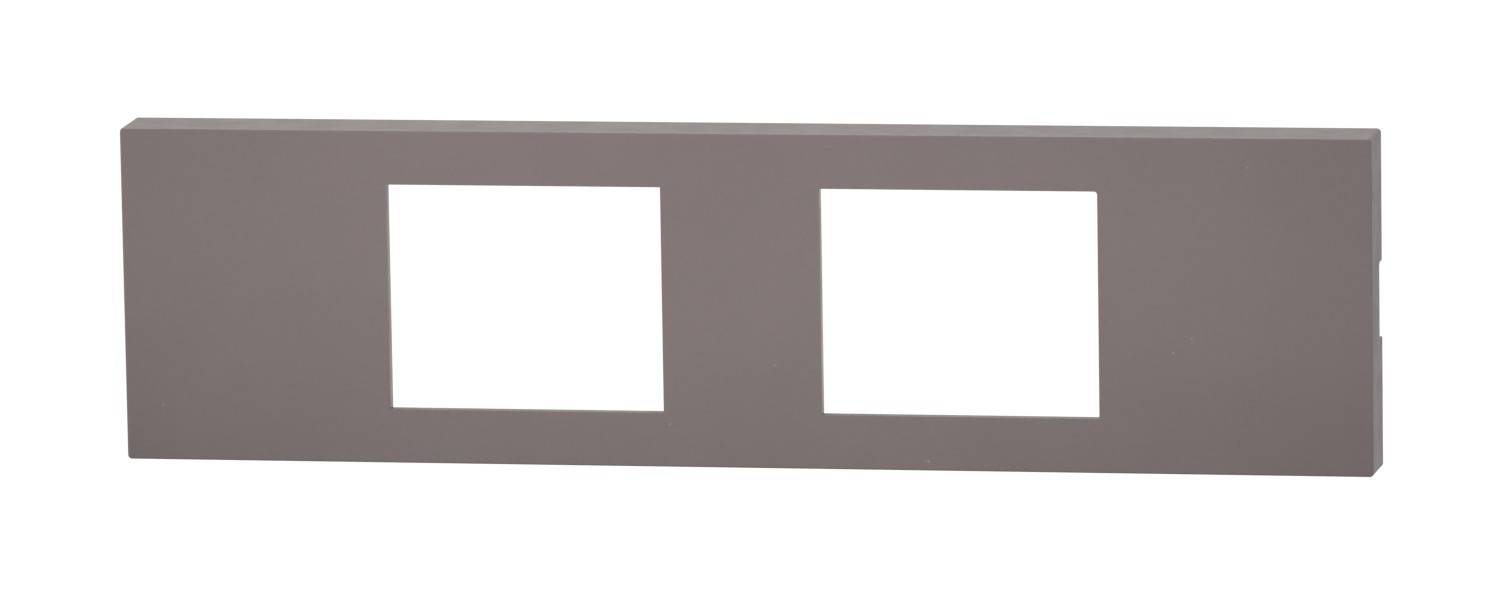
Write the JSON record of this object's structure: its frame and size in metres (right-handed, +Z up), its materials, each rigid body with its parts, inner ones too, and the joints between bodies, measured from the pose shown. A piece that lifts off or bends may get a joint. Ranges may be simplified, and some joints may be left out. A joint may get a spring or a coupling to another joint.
{
  "type": "wall switch cover frame",
  "caption": "Wide taupe cover frame for flush wall switches, with empty rectangular module windows, on a steel mounting frame.",
  "frame": {"origin": "centre of the wall plane: on the back face of the mounting frame, midway between the windows", "axes": "+X along the plate to the viewer's right, -Y out of the wall towards the viewer, +Z up"},
  "size_m": [0.3066, 0.0307, 0.0822],
  "materials": {
    "cover_taupe": "fine satin moulded",
    "zinc_sheet": "zinc plated",
    "zinc_screw": "zinc plated",
    "spring_stainless": "rolled stainless strip",
    "rivet_aluminium": "plain",
    "terminal_brass": "machined"
  },
  "bodies": {
    "root": {"mounting_frame": "zinc_sheet", "left_end_bracket": "zinc_sheet", "right_end_bracket": "zinc_sheet", "box_screws": "zinc_screw", "screw_washers": "zinc_screw", "spring_rivets": "rivet_aluminium", "earth_terminal": "terminal_brass", "earth_screw": "zinc_screw", "upper_spring_1": "spring_stainless", "upper_spring_2": "spring_stainless", "upper_spring_3": "spring_stainless", "upper_spring_4": "spring_stainless", "upper_spring_5": "spring_stainless", "upper_spring_6": "spring_stainless", "lower_spring_1": "spring_stainless", "lower_spring_2": "spring_stainless", "lower_spring_3": "spring_stainless", "lower_spring_4": "spring_stainless", "lower_spring_5": "spring_stainless", "lower_spring_6": "spring_stainless"},
    "cover": {"cover_plate": "cover_taupe"}
  },
  "joints": [
    {"name": "cover_pull_off", "type": "slide", "parent": "root", "child": "cover", "axis": [0, -1, 0], "range_m": [0, 0.02], "deforming": ["upper_spring_1", "upper_spring_2", "upper_spring_3", "upper_spring_4", "upper_spring_5", "upper_spring_6", "lower_spring_1", "lower_spring_2", "lower_spring_3", "lower_spring_4", "lower_spring_5", "lower_spring_6"]}
  ]
}
